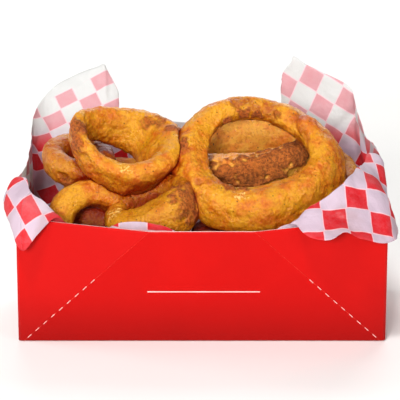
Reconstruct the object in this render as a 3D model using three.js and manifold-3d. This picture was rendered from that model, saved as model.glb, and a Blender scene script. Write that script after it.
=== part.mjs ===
// Onion rings side: a pile of battered onion rings in a red paperboard tray lined with a sheet of
// chequered deli paper. Millimetres, +Z up, origin at the middle of the tray's underside. The tray's
// long front panel faces -Y. Each ring, the paper and the tray are one closed solid each.
import * as THREE from "three";
import Module from "manifold-3d";
import { mergeVertices } from "three/addons/utils/BufferGeometryUtils.js";

const wasm = await Module();
wasm.setup();

const deg = THREE.MathUtils.degToRad;
const GAP = 0.3; // clearance between pieces that touch

// Tray: a folded carton whose long panels lean out between two 45 degree creases. `wall` is measured up
// the slant, and `corner` is the radius of the upright folds at the corners.
const TRAY = { length: 225, depth: 124, wall: 78, board: 0.6, corner: 1.5 };
const CREASE_START = 3.5; // distance of a crease's foot from the tray's corner
const LEAN = { front: 18, back: 12, corner: 3 }; // degrees from upright
const TURN_SHARE = 0.06; // share of a wall, by each corner, over which the way out turns

// Paper: the sheet's thickness as modelled; `clear`, how far it stays off the board; how far its foot
// stands in from the walls, and that foot's corner radius; how far below the rim it turns, and how far up
// its waist lies; and how finely it is divided between two border points.
const PAPER = { thick: 0.5, clear: 1.5, foot: 4, footRound: 8, tuck: 8, waist: 0.42, steps: 2 };
const FREE_ROWS = 4; // rows up the sheet's free stretch: even, so that one lies at its middle

// Where the sheet leaves the tray, going round the rim from the front left corner: 0 to 1 is the front
// wall, 1 to 2 the right, 2 to 3 the back and 3 to 4 the left. A standing stretch rises above the rim by
// `rise` and leans out by `out`, or ends at `tip`. A folded stretch has the crest of its fold at `crest`,
// passes over the rim raised by `lift`, or through `rest`, and hangs down to its free edge at `tip`. The
// paper bunched up under such a fold is part of the solid.
const BORDER = [
  { at: 0.0, crest: [-103, -62, 93], rest: [-108.5, -70, 84], tip: [-107, -80, 62] },
  { at: 0.05, crest: [-94.5, -66, 87], rest: [-98, -72, 82], tip: [-98, -78, 71] },
  { at: 0.113, crest: [-87, -68, 80], rest: [-87, -70, 81.5], tip: [-87, -71.5, 80] },
  { at: 0.14, rise: 2, out: -1 },
  { at: 0.28, rise: 4, out: 0 },
  { at: 0.39, rise: 3.5, out: 0 },
  { at: 0.46, rise: -3, out: -1 },
  { at: 0.68, rise: -3, out: -1 },
  { at: 0.72, rise: 2, out: -1 },
  { at: 0.745, crest: [56, -77, 79], rest: [56, -78.5, 80.5], tip: [56, -79.5, 79] },
  { at: 0.8, crest: [62, -75, 85], rest: [62, -80, 81], tip: [63, -92, 71] },
  { at: 0.87, crest: [74, -71, 91.5], rest: [75, -75, 83], tip: [76, -95, 69.5] },
  { at: 0.94, crest: [83, -66, 99], rest: [85, -71, 86], tip: [89, -93, 72] },
  { at: 1.0, crest: [89.5, -58, 103.5], rest: [97, -66, 88], tip: [104, -88, 66] },
  { at: 1.07, crest: [94.5, -45, 104.5], rest: [108, -60, 90], tip: [119, -71, 66] },
  { at: 1.2, crest: [100.5, -25, 104], rest: [110, -37, 92], tip: [116, -46, 76] },
  { at: 1.36, crest: [104, -8, 106], rest: [111, -12, 104], tip: [114, -16, 93] },
  { at: 1.56, rise: 30, out: 0 },
  { at: 1.78, rise: 31, out: -4 },
  { at: 1.95, tip: [101, 58, 127] },
  { at: 2.03, tip: [97, 63, 136] },
  { at: 2.12, tip: [80, 66, 146] },
  { at: 2.225, tip: [60, 67, 158] },
  { at: 2.26, tip: [54, 68, 143] },
  { at: 2.34, rise: 37, out: 1 },
  { at: 2.66, rise: 37, out: 2 },
  { at: 2.735, tip: [-55, 70, 130] },
  { at: 2.775, tip: [-65, 75, 150] },
  { at: 2.87, tip: [-83, 77, 143] },
  { at: 2.96, tip: [-99, 72, 134] },
  { at: 3.06, tip: [-109, 60, 122] },
  { at: 3.2, rise: 28, out: 1 },
  { at: 3.6, rise: 20, out: 1 },
  { at: 3.76, crest: [-109, -36, 97], rest: [-115, -38, 95], tip: [-121, -40, 84] },
  { at: 3.9, crest: [-106, -48, 96], rest: [-115, -55, 88], tip: [-119, -62, 72] },
];

// Rings, named for where they lie. `at` is the centre; `across` the centreline's long and short half
// widths; `band` the section's width across the ring and its height along the axis. A ring lies flat
// before it is turned: lean tips its face to the front, roll raises its left side, turn spins it about Z.
// `flare` opens the band outwards at its top. `egg` narrows the end that `spin` points at. `warp` lifts two
// opposite sides. `swell` thickens the band by that share on the side `toward` points at. Angles are in
// degrees, anticlockwise from the ring's own +X.
const PLAIN = { lean: 0, roll: 0, turn: 0, flare: 0, egg: 0, spin: 0, warp: 0, swell: 0, toward: 0 };
const RINGS = [
  { name: "ring_front_right", at: [36, -24, 105.5], across: [42, 37], band: [17, 26],
    lean: 46, flare: -32, egg: 0.2, spin: -8, swell: 0.16, toward: -60 },
  { name: "ring_front_left", at: [-50, -20, 112], across: [28.5, 24.5], band: [13, 26],
    lean: 25, roll: 15, egg: -0.15, flare: 14, warp: 3, swell: 0.15, toward: 20 },
  { name: "ring_back_right", at: [28, 10, 99], across: [42, 27], band: [13, 27],
    lean: 18, roll: -6, swell: 0.1, toward: -90 },
  { name: "ring_right_end", at: [77, 5, 89], across: [15, 20], band: [13, 22],
    lean: 14, roll: 12 },
  { name: "ring_small_left", at: [-78, -2, 100], across: [15, 17], band: [15, 19],
    lean: 13, roll: 14, turn: -10 },
  { name: "ring_arch_left", at: [-67.5, -38, 67], across: [20.5, 20.5], band: [17, 20],
    lean: 74, turn: 18 },
  { name: "ring_front_middle", at: [-30, -42, 77], across: [22, 18], band: [17, 24],
    lean: 22, roll: -25, swell: 0.1, toward: -90 },
  { name: "ring_middle_left", at: [-56, 24, 80], across: [28, 18], band: [12, 22],
    lean: 8, roll: -4, turn: 14 },
  { name: "ring_under_right", at: [24, -37, 58], across: [24, 20], band: [14, 20], lean: 8 },
  { name: "ring_third_right", at: [44, 14, 68], across: [34, 24], band: [14, 22], lean: 4, roll: -2 },
  { name: "ring_third_left", at: [-58, 4, 62], across: [30, 28], band: [14, 22], lean: -4, roll: 3 },
  { name: "ring_second_right", at: [40, -4, 40], across: [35, 30], band: [14, 24] },
  { name: "ring_second_left", at: [-42, 0, 40], across: [33, 32], band: [14, 24] },
  { name: "ring_first_right", at: [67, 2, 14.5], across: [20, 32], band: [14, 25] },
  { name: "ring_first_middle", at: [2, 2, 14.5], across: [30, 33], band: [14, 25] },
  { name: "ring_first_left", at: [-65, -2, 14.5], across: [21, 31], band: [14, 25] },
];
const SEGMENTS = { around: 22, section: 8 };
const SECTION_POWER = 2.6; // 2 is an ellipse, more is boxier

// Joins loops of equal length into one closed solid: skin between neighbours, a fan over each end.
function loft(loops) {
  const count = loops[0].length;
  const points = loops.flat();
  const middle = (loop) => loop.reduce((sum, p) => sum.add(p), new THREE.Vector3()).divideScalar(count);
  points.push(middle(loops[0]), middle(loops.at(-1)));
  const [first, last] = [points.length - 2, points.length - 1];
  const index = [];
  for (let i = 0; i < count; i++) {
    const next = (i + 1) % count;
    const end = (loops.length - 1) * count;
    index.push(first, next, i, last, end + i, end + next);
    for (let row = 0; row < loops.length - 1; row++) {
      const [a, b] = [row * count + i, row * count + next];
      index.push(a, b, b + count, a, b + count, a + count);
    }
  }
  return new THREE.BufferGeometry().setFromPoints(points).setIndex(index);
}

// One long wall's stations at slant height s, left to right: corner, crease, middle, crease, corner.
function longWall(inset, s, lean, side) {
  const half = TRAY.length / 2 - inset;
  const y = TRAY.depth / 2 - inset;
  const crease = TRAY.length / 2 - CREASE_START - s;
  const panel = [s * Math.sin(deg(lean)), s * Math.cos(deg(lean))];
  const corner = [s * Math.sin(deg(LEAN.corner)), s * Math.cos(deg(LEAN.corner))];
  const place = (x, [out, up]) => new THREE.Vector3(x, side * (y + out), up);
  const middle = [-1, -0.5, 0, 0.5, 1].map((share) => place(share * crease, panel));
  const edge = half - TRAY.corner;
  return [place(-edge, corner), ...middle, place(edge, corner)];
}

// The tray's four walls at slant height s, each from left to right as seen from outside.
function trayWalls(inset, s) {
  const x = TRAY.length / 2 - inset;
  const y = TRAY.depth / 2 - inset - TRAY.corner + s * Math.sin(deg(LEAN.corner));
  const up = s * Math.cos(deg(LEAN.corner));
  const front = longWall(inset, s, LEAN.front, -1);
  const right = [-1, 0, 1].map((share) => new THREE.Vector3(x, y * share, up));
  const back = longWall(inset, s, LEAN.back, 1).reverse();
  const left = [1, 0, -1].map((share) => new THREE.Vector3(-x, y * share, up));
  return [front, right, back, left];
}

function trayGeometry() {
  const loop = (inset, s) => trayWalls(inset, s).flat();
  const floor = loop(TRAY.board, TRAY.board).map((point) => point.setZ(TRAY.board));
  return loft([loop(0, 0), loop(0, TRAY.wall), loop(TRAY.board, TRAY.wall), floor]);
}

// The point of the tray's wall at a station from 0 to 4 and a height measured up its slant.
function wallAt(station, inset, height = TRAY.wall) {
  const wall = Math.floor(station) % 4;
  const run = trayWalls(inset, height)[wall];
  const along = (point) => (wall % 2 ? point.y : point.x);
  const [from, to] = [along(run[0]), along(run.at(-1))];
  const target = THREE.MathUtils.lerp(from, to, station - Math.floor(station));
  const passed = (point) => (target - along(point)) * (to - from) > 0;
  let k = 0;
  while (k < run.length - 2 && passed(run[k + 1])) k++;
  const step = (target - along(run[k])) / (along(run[k + 1]) - along(run[k]));
  return run[k].clone().lerp(run[k + 1], step);
}

// The level way out of the tray at a station, turned gradually round each corner.
function outwardAt(station) {
  const share = station - Math.floor(station);
  const nearStart = Math.max(0, 1 - share / TURN_SHARE);
  const nearEnd = Math.max(0, 1 - (1 - share) / TURN_SHARE);
  const angle = deg(90 * (Math.floor(station) - 1) + 45 * (nearEnd - nearStart));
  return new THREE.Vector3(Math.cos(angle), Math.sin(angle), 0);
}

// One border entry as points: where the inner face turns, the middle of the free stretch, its edge, and
// where the outer face turns. The faces part where the sheet is bunched up under a fold.
function borderPoints(entry) {
  const inset = TRAY.board + PAPER.clear;
  const rim = wallAt(entry.at, inset);
  const out = outwardAt(entry.at);
  if (entry.crest) {
    const overRim = wallAt(entry.at, -PAPER.clear);
    overRim.z += entry.lift ?? 0;
    const rest = entry.rest ? new THREE.Vector3(...entry.rest) : overRim;
    const under = rim.clone().setZ(rim.z + PAPER.thick * 2);
    return [new THREE.Vector3(...entry.crest), rest, new THREE.Vector3(...entry.tip), under];
  }
  const turn = wallAt(entry.at, inset + PAPER.thick, TRAY.wall - PAPER.tuck);
  const edge = entry.tip
    ? new THREE.Vector3(...entry.tip)
    : rim.clone().addScaledVector(out, entry.out).setZ(rim.z + entry.rise);
  const middle = turn.clone().lerp(edge, 0.5);
  return [turn, middle, edge, wallAt(entry.at, inset, TRAY.wall - PAPER.tuck)];
}

const KNOTS = BORDER.map((entry) => ({ at: entry.at, points: borderPoints(entry) }));

// The border a share t of the way from knot k to the next: its station and its points.
function borderAt(k, t) {
  const knot = (i) => KNOTS[(i + KNOTS.length) % KNOTS.length];
  const span = (knot(k + 1).at - knot(k).at + 4) % 4;
  const points = knot(k).points.map((_, row) => {
    const near = [-1, 0, 1, 2].map((i) => knot(k + i).points[row]);
    return new THREE.CatmullRomCurve3(near, false, "centripetal").getPoint((1 + t) / 3);
  });
  return { station: (knot(k).at + span * t) % 4, points };
}

// The foot of one of the sheet's faces on the tray's floor, a rounded rectangle.
function footAt(station, inset, height) {
  const wall = wallAt(station, 0, 0);
  const half = new THREE.Vector2(TRAY.length / 2 - inset, TRAY.depth / 2 - inset);
  const core = half.clone().subScalar(PAPER.footRound);
  const flat = new THREE.Vector2(wall.x, wall.y).clamp(half.clone().negate(), half);
  const centre = flat.clone().clamp(core.clone().negate(), core);
  const foot = centre.clone().add(flat.sub(centre).clampLength(0, PAPER.footRound));
  return new THREE.Vector3(foot.x, foot.y, height);
}

// The sheet's inner face at one station: its foot, its waist, where it turns, and its free stretch.
function innerRows({ station, points: [turn, middle, edge] }) {
  const foot = footAt(station, PAPER.foot + PAPER.thick, TRAY.board + GAP + PAPER.thick);
  const free = Array.from({ length: FREE_ROWS }, (_, i) => {
    const t = (i + 1) / FREE_ROWS;
    const bend = turn.clone().multiplyScalar(2 * (t - 0.5) * (t - 1));
    return bend.addScaledVector(middle, 4 * t * (1 - t)).addScaledVector(edge, 2 * t * (t - 0.5));
  });
  return [foot, foot.clone().lerp(turn, PAPER.waist), turn, ...free];
}

// The outer face under those rows; `behind` gives a point of the inner face moved back by the thickness.
function outerRows({ station, points }, behind) {
  const turn = points[3];
  const foot = footAt(station, PAPER.foot, TRAY.board + GAP);
  const middleRow = 2 + FREE_ROWS / 2;
  const free = Array.from({ length: FREE_ROWS }, (_, i) => {
    const row = 3 + i;
    const share = (row - 2) / (middleRow - 2);
    return row < middleRow ? turn.clone().lerp(behind(middleRow), share) : behind(row);
  });
  return [foot, foot.clone().lerp(turn, PAPER.waist), turn, ...free];
}

// The sheet as one closed skin: its outer face from the foot to the edge, then its inner face back down.
function paperGeometry() {
  const steps = Array.from({ length: PAPER.steps }, (_, i) => i / PAPER.steps);
  const border = KNOTS.flatMap((_, k) => steps.map((t) => borderAt(k, t)));
  const inner = border.map(innerRows);
  const at = (column, row) =>
    inner.at(column % inner.length)[Math.min(row, inner[0].length - 1)].clone();
  const behind = (column) => (row) => {
    const around = at(column + 1, row).sub(at(column - 1, row));
    const out = around.cross(at(column, row + 1).sub(at(column, row - 1))).normalize();
    return at(column, row).addScaledVector(out, PAPER.thick);
  };
  const outer = border.map((step, column) => outerRows(step, behind(column)));
  const rows = inner[0].map((_, row) => row);
  const loops = (columns) => rows.map((row) => columns.map((column) => column[row]));
  return loft([...loops(outer), ...loops(inner).reverse()]);
}

// A ring lying flat about its own centre; `grow` thickens its section all round.
function ringGeometry(ring, grow = 0) {
  const { around, section } = SEGMENTS;
  const [long, short] = ring.across;
  const tilt = deg(ring.flare);
  const points = [];
  for (let i = 0; i < around; i++) {
    const turn = (2 * Math.PI * i) / around;
    const narrow = short * (1 - ring.egg * Math.cos(turn));
    const centre = new THREE.Vector2(long * Math.cos(turn), narrow * Math.sin(turn));
    const out = new THREE.Vector2(Math.cos(turn) / long, Math.sin(turn) / narrow).normalize();
    const lift = ring.warp * Math.cos(2 * turn);
    const size = 1 + ring.swell * Math.cos(turn + deg(ring.spin - ring.toward));
    const [wide, high] = ring.band.map((full) => (full * size) / 2 + grow);
    for (let j = 0; j < section; j++) {
      const roll = (2 * Math.PI * j) / section;
      const [c, s] = [Math.cos(roll), Math.sin(roll)];
      const square = (Math.abs(c) ** SECTION_POWER + Math.abs(s) ** SECTION_POWER) ** (-1 / SECTION_POWER);
      const [across, along] = [wide * square * c, high * square * s];
      const reach = across * Math.cos(tilt) + along * Math.sin(tilt);
      const up = along * Math.cos(tilt) - across * Math.sin(tilt);
      points.push(new THREE.Vector3(centre.x + out.x * reach, centre.y + out.y * reach, lift + up));
    }
  }
  const index = [];
  for (let i = 0; i < around; i++)
    for (let j = 0; j < section; j++) {
      const [a, b] = [i * section + j, ((i + 1) % around) * section + j];
      const up = (j + 1) % section - j;
      index.push(a, b, b + up, a, b + up, a + up);
    }
  return new THREE.BufferGeometry().setFromPoints(points).setIndex(index).rotateZ(deg(ring.spin));
}

// A geometry as a solid that can be cut, its equal corners merged first.
function solidOf(geometry) {
  const merged = mergeVertices(geometry);
  const mesh = new wasm.Mesh({
    numProp: 3,
    vertProperties: Float32Array.from(merged.attributes.position.array),
    triVerts: Uint32Array.from(merged.index.array),
  });
  return new wasm.Manifold(mesh);
}

function geometryOf(solid) {
  const { vertProperties, triVerts } = solid.getMesh();
  const geometry = new THREE.BufferGeometry();
  geometry.setAttribute("position", new THREE.BufferAttribute(vertProperties, 3));
  return geometry.setIndex(new THREE.BufferAttribute(triVerts, 1));
}

const material = (color, roughness) => new THREE.MeshStandardMaterial({ color, roughness, metalness: 0 });
const board = material("#d81e1c", 0.45);
const paper = material("#e9a9ad", 0.6);
const batter = material("#c77b1e", 0.5);

function named(name, geometry, finish) {
  const mesh = new THREE.Mesh(geometry, finish);
  mesh.name = name;
  return mesh;
}

// Lays the rings from the top one down. Soft batter gives way: a ring is dented by those laid before it.
function pile(rings) {
  const laid = [];
  for (const ring of rings) {
    const mesh = named(ring.name, ringGeometry(ring), batter);
    mesh.position.set(...ring.at);
    mesh.rotation.set(deg(ring.lean), deg(ring.roll), deg(ring.turn), "ZYX");
    mesh.updateMatrix();
    const inward = mesh.matrix.clone().invert();
    let solid = solidOf(mesh.geometry);
    for (const above of laid) {
      const place = inward.clone().multiply(above.mesh.matrix);
      const dent = solidOf(ringGeometry(above.ring, GAP).applyMatrix4(place));
      solid = solid.subtract(dent);
    }
    mesh.geometry = geometryOf(solid);
    laid.push({ ring, mesh });
  }
  return laid.map(({ mesh }) => mesh);
}

const side = new THREE.Group();
side.add(named("tray", trayGeometry(), board));
side.add(named("paper_liner", paperGeometry(), paper));
side.add(...pile(RINGS.map((ring) => ({ ...PLAIN, ...ring }))));

export default side;
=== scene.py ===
import logging
import math
from dataclasses import dataclass, field
from enum import Enum
from typing import Callable, NamedTuple, Sequence

import bmesh
import bpy
from mathutils import Euler, Matrix, Vector, noise
from mathutils.bvhtree import BVHTree


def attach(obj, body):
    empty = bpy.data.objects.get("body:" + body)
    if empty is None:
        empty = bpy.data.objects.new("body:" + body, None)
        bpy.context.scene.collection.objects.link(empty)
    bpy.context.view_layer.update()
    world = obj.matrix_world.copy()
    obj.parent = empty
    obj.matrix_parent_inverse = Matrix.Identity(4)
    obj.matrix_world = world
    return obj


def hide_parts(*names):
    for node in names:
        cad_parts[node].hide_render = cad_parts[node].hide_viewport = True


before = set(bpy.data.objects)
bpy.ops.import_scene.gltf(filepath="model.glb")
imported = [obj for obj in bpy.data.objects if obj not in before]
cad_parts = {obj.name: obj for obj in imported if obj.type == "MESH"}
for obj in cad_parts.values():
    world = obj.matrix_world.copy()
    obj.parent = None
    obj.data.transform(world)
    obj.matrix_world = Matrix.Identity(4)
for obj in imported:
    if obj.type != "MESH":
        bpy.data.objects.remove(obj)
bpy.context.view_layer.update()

log = logging.getLogger("onion_rings_side")

MM = 0.001
GAP = 0.3  # clearance between pieces that touch
SPUN_RADIUS = 3.0  # of the plain ring that each onion ring is shaped from
GOLDEN_TURN = 2.4  # radians between neighbours that are spread evenly
# batter layers: crumbs, torn batter, toasting with painted shade, and painted shade deep between the rings
BATTER_LAYERS = ("crust", "pale", "hollow", "sheltered")
BATTER_WAVES = ((0.055, 1.3), (0.14, 0.7), (0.36, 0.35), (0.7, 0.16))  # pitch and height, broad to fine

MIX_COLOURS = (6, 7)  # the Mix node's colour inputs
MIX_RESULT = 2  # and its colour output

Colour = tuple[float, float, float, float]
Triple = tuple[float, float, float]


# ---------------------------------------------------------------- small helpers

def srgb(code: str) -> Colour:
    """A hex colour as the linear colour that a shader takes.

    Args:
        code: The colour as "#rrggbb".

    Returns:
        Red, green, blue and an alpha of 1, linear.
    """
    parts = [int(code[i:i + 2], 16) / 255 for i in (1, 3, 5)]
    linear = [p / 12.92 if p <= 0.04045 else ((p + 0.055) / 1.055) ** 2.4 for p in parts]
    return (linear[0], linear[1], linear[2], 1.0)


def mix(a: float, b: float, share: float) -> float:
    """The value a share of the way from a to b."""
    return a + (b - a) * share


def smooth(low: float, high: float, value: float) -> float:
    """A soft step from 0 at low to 1 at high."""
    t = min(1.0, max(0.0, (value - low) / (high - low)))
    return t * t * (3 - 2 * t)


def finish_mesh(bm: bmesh.types.BMesh, name: str, materials: Sequence[bpy.types.Material],
                smooth_faces: bool = True) -> bpy.types.Object:
    """Turns a millimetre bmesh into a finished piece in metres.

    Args:
        bm: The mesh, which is freed.
        name: The piece's name.
        materials: Its material slots.
        smooth_faces: Whether its faces are shaded smooth.

    Returns:
        The piece, linked to the scene, at the origin, riding on the root body.
    """
    for face in bm.faces:
        face.smooth = smooth_faces
    bmesh.ops.scale(bm, vec=(MM, MM, MM), verts=bm.verts)
    mesh = bpy.data.meshes.new(name)
    bm.to_mesh(mesh)
    bm.free()
    for material in materials:
        mesh.materials.append(material)
    piece = bpy.data.objects.new(name, mesh)
    bpy.context.scene.collection.objects.link(piece)
    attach(piece, "root")
    return piece


def grid_mesh(columns: int, rows: int, place: Callable[[int, int], Vector]) -> bmesh.types.BMesh:
    """A grid whose corners are moved to where a function puts them.

    Args:
        columns: Faces along the grid.
        rows: Faces up the grid.
        place: Gives a corner's place from its column and row.

    Returns:
        The moved grid, with whole-number layers "column" and "row" on its corners.
    """
    bm = bmesh.new()
    bmesh.ops.create_grid(bm, x_segments=columns, y_segments=rows, size=1.0)
    column_layer = bm.verts.layers.int.new("column")
    row_layer = bm.verts.layers.int.new("row")
    for vert in bm.verts:
        column = round((vert.co.x + 1) / 2 * columns)
        row = round((vert.co.y + 1) / 2 * rows)
        vert[column_layer] = column
        vert[row_layer] = row
        vert.co = place(column, row)
    return bm


class Signal:
    """A node's output, which adds, subtracts and multiplies as a number does."""

    def __init__(self, nodes: "Nodes", socket: bpy.types.NodeSocket) -> None:
        """Keeps the output and the material that it is in."""
        self.nodes = nodes
        self.socket = socket

    def __add__(self, other: "float | Signal") -> "Signal":
        """The sum of the two."""
        return self.nodes.maths("ADD", self, other)

    def __sub__(self, other: "float | Signal") -> "Signal":
        """This less the other."""
        return self.nodes.maths("SUBTRACT", self, other)

    def __rsub__(self, other: float) -> "Signal":
        """A number less this."""
        return self.nodes.maths("SUBTRACT", other, self)

    def __mul__(self, other: "float | Signal") -> "Signal":
        """The product of the two."""
        return self.nodes.maths("MULTIPLY", self, other)

    def step(self, low: float, high: float, start: float = 0.0, end: float = 1.0) -> "Signal":
        """A soft step from low to high, as start to end."""
        inputs = {"Value": self, "From Min": low, "From Max": high, "To Min": start, "To Max": end}
        return self.nodes.signal("MapRange", inputs, "Result", interpolation_type="SMOOTHSTEP")


class Nodes:
    """A material's node tree, with short ways to add nodes and to join them."""

    def __init__(self, name: str) -> None:
        """Makes an empty material of that name."""
        self.material = bpy.data.materials.new(name)
        self.material.use_nodes = True
        self.tree = self.material.node_tree
        self.tree.nodes.clear()

    def add(self, kind: str, inputs: dict | None = None, **settings: object) -> bpy.types.Node:
        """Adds a node.

        Args:
            kind: The node's type, without "ShaderNode".
            inputs: Its sockets' values or the signals that feed them, by name or number.
            settings: Its own properties.

        Returns:
            The node.
        """
        node = self.tree.nodes.new("ShaderNode" + kind)
        for key, value in settings.items():
            setattr(node, key, value)
        for key, value in (inputs or {}).items():
            if isinstance(value, Signal):
                self.tree.links.new(value.socket, node.inputs[key])
            else:
                node.inputs[key].default_value = value
        return node

    def signal(self, kind: str, inputs: dict | None = None, output: str | int = 0,
               **settings: object) -> Signal:
        """Adds a node and gives one of its outputs."""
        return Signal(self, self.add(kind, inputs, **settings).outputs[output])

    def maths(self, operation: str, a: "float | Signal", b: "float | Signal" = 0.0) -> Signal:
        """One sum of two numbers or signals."""
        return self.signal("Math", {0: a, 1: b}, operation=operation)

    def blend(self, share: "float | Signal", a: "Colour | Signal", b: "Colour | Signal",
              kind: str = "MIX") -> Signal:
        """Two colours mixed by a share."""
        inputs = {"Factor": share, MIX_COLOURS[0]: a, MIX_COLOURS[1]: b}
        return self.signal("Mix", inputs, MIX_RESULT, data_type="RGBA", blend_type=kind)

    def attribute(self, name: str) -> Signal:
        """A number that the mesh holds at its corners."""
        return self.signal("Attribute", output="Fac", attribute_name=name)

    def place(self, offset: Triple = (0, 0, 0), scale: Triple = (1, 1, 1)) -> Signal:
        """Object coordinates, moved and scaled."""
        source = self.signal("TexCoord", output="Object")
        return self.signal("Mapping", {"Vector": source, "Location": offset, "Scale": scale})

    def noise(self, place: Signal, scale: float, detail: float = 3.0, roughness: float = 0.5,
              distortion: float = 0.0) -> Signal:
        """A noise texture's value."""
        inputs = {"Vector": place, "Scale": scale, "Detail": detail, "Roughness": roughness,
                  "Distortion": distortion}
        return self.signal("TexNoise", inputs, "Fac")

    def bump(self, height: Signal, distance: float, strength: float = 1.0,
             under: Signal | None = None) -> Signal:
        """A bump from a height, on top of another bump if there is one."""
        inputs = {"Height": height, "Distance": distance, "Strength": strength}
        if under is not None:
            inputs["Normal"] = under
        return self.signal("Bump", inputs)

    def principled(self, base: Signal, rough: "float | Signal", specular: float,
                   others: dict | None = None) -> Signal:
        """A principled shader; `others` are its further inputs."""
        inputs = {"Base Color": base, "Roughness": rough, "Specular IOR Level": specular}
        return self.signal("BsdfPrincipled", inputs | (others or {}))

    def done(self, shader: Signal) -> bpy.types.Material:
        """Joins the shader to the output and gives the material."""
        self.add("OutputMaterial", {"Surface": shader})
        return self.material


# ---------------------------------------------------------------- finishes

@dataclass(frozen=True)
class CoatedBoard:
    """The carton's red side: a satin ink coat over board, paler where a fold cracks it, and darker towards
    the foot as painted shade.
    """

    red: Colour = srgb("#bd0704")
    deep: Colour = srgb("#b40604")
    # painted shade: the red that the wall darkens to at its foot
    foot: Colour = srgb("#8c0402")
    cracked: Colour = srgb("#e0463c")
    roughness: float = 0.5
    foot_shade_height: float = 0.055
    cracking: float = 0.55

    def make(self) -> bpy.types.Material:
        """Makes the material; the mesh's "fold" attribute says where the coat is cracked."""
        n = Nodes("coated_board")
        place = n.place()
        cloud = n.noise(place, 18)
        grain = n.noise(place, 900, 2)
        waves = n.noise(place, 55, 2)
        broken = (n.attribute("fold") * n.noise(place, 700, 3, 0.7)).step(0.3, 0.6)
        height = n.signal("SeparateXYZ", {0: place}, 2)
        # painted shade: the red darkens over the lowest stretch of the wall
        low = (height + cloud * 0.02).step(self.foot_shade_height, 0.0)
        base = n.blend(cloud.step(0.3, 0.7), self.red, self.deep)
        base = n.blend(low, base, self.foot)
        base = n.blend(broken * self.cracking, base, self.cracked)
        rough = n.noise(place, 60).step(0.3, 0.7, self.roughness - 0.05, self.roughness + 0.06)
        normal = n.bump(waves, 0.0006, 0.25, n.bump(grain, 0.00003, 0.6))
        return n.done(n.principled(base, rough, 0.11, {"Normal": normal}))


@dataclass(frozen=True)
class RawBoard:
    """Bare board with its fibres: the carton's inner side, cut edges and pricked crease marks."""

    name: str = "raw_board"
    white: Colour = srgb("#f4ded9")
    shade: Colour = srgb("#e6c6c1")
    roughness: float = 0.75

    def make(self) -> bpy.types.Material:
        """Makes the material."""
        n = Nodes(self.name)
        fibres = n.noise(n.place(scale=(1, 1, 3)), 420, 4, 0.65, 0.6)
        base = n.blend(n.noise(n.place(), 90, 4).step(0.3, 0.7), self.white, self.shade)
        return n.done(n.principled(base, self.roughness, 0.3, {"Normal": n.bump(fibres, 0.00006, 0.7)}))


@dataclass(frozen=True)
class DeliPaper:
    """Greaseproof paper printed with checks, thin enough for light to come through."""

    # white is the white check darkened and tinted lavender as painted shade with the red carton's tint;
    # lit_white and lit_red are lit copies of the white and red checks
    white: Colour = srgb("#d4bfcd")
    lit_white: Colour = srgb("#dcdcda")
    red: Colour = srgb("#dc0e1a")
    lit_red: Colour = srgb("#dba7ad")
    gap: Colour = srgb("#f3cbd3")
    stain: Colour = srgb("#c7a08c")
    gap_width: float = 0.06
    wander: float = 0.05
    thinness: float = 0.3
    roughness: float = 0.55

    def make(self) -> bpy.types.Material:
        """Makes the material.

        Returns:
            The material. Its "checks" UV map counts cells. Attributes on the mesh say where light comes
            through ("glow"), where fat has soaked in ("grease"), and, above 0, the unprinted margin.
        """
        n = Nodes("deli_paper")
        place = n.place()
        glow = n.attribute("glow")
        soaked = (n.attribute("grease") + n.noise(place, 45, 4)).step(0.75, 0.95)
        line, red_share = self._print(n, place)
        # painted backlight: the glow attribute moves each check from its own colour to its lit copy
        white = n.blend(glow, self.white, self.lit_white)
        red = n.blend(glow * n.noise(place, 120, 4, 0.6).step(0.2, 0.8, 0.85, 1.0), self.red, self.lit_red)
        front = n.blend(red_share, n.blend(line, white, self.gap), red)
        front = n.blend(soaked * 0.3, front, self.stain, "MULTIPLY")
        fibres = n.bump(n.noise(place, 520, 5, 0.7, 0.4), 0.00006, 0.6)
        normal = n.bump(n.noise(place, 130, 4, 0.55, 0.5), 0.0012, 0.6, fibres)
        skin = n.principled(front, self.roughness - soaked * 0.2, 0.3, {"Normal": normal})
        through = n.signal("BsdfTranslucent", {"Color": front, "Normal": normal})
        return n.done(n.signal("MixShader", {0: self.thinness, 1: skin, 2: through}))

    def _print(self, n: Nodes, place: Signal) -> tuple[Signal, Signal]:
        """Where the print is: the paler line inside the red cells' edges, and the red ink."""
        smear = n.signal("TexNoise", {"Vector": place, "Scale": 160.0, "Detail": 3.0}, "Color")
        smear = n.signal("VectorMath", {0: smear, 1: (0.5, 0.5, 0.5)}, operation="SUBTRACT")
        smear = n.signal("VectorMath", {0: smear, "Scale": self.wander}, operation="SCALE")
        cells = n.signal("UVMap", uv_map="checks")
        moved = n.signal("VectorMath", {0: cells, 1: smear})
        across, up = (n.signal("SeparateXYZ", {0: moved}, axis) for axis in (0, 1))
        is_red = n.maths("PINGPONG", n.maths("FLOOR", across) + n.maths("FLOOR", up), 1.0)
        is_red = n.maths("ROUND", is_red)
        edge = n.maths("MINIMUM", n.maths("PINGPONG", across, 0.5), n.maths("PINGPONG", up, 0.5))
        line = edge.step(self.gap_width, self.gap_width * 0.35) * is_red
        printed = n.maths("LESS_THAN", n.attribute("margin"), 0.0)
        ink = n.noise(place, 260, 5, 0.75).step(0.25, 0.75, 0.89, 1.0)
        return line * printed, is_red * ink * (1.0 - line) * printed


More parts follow.
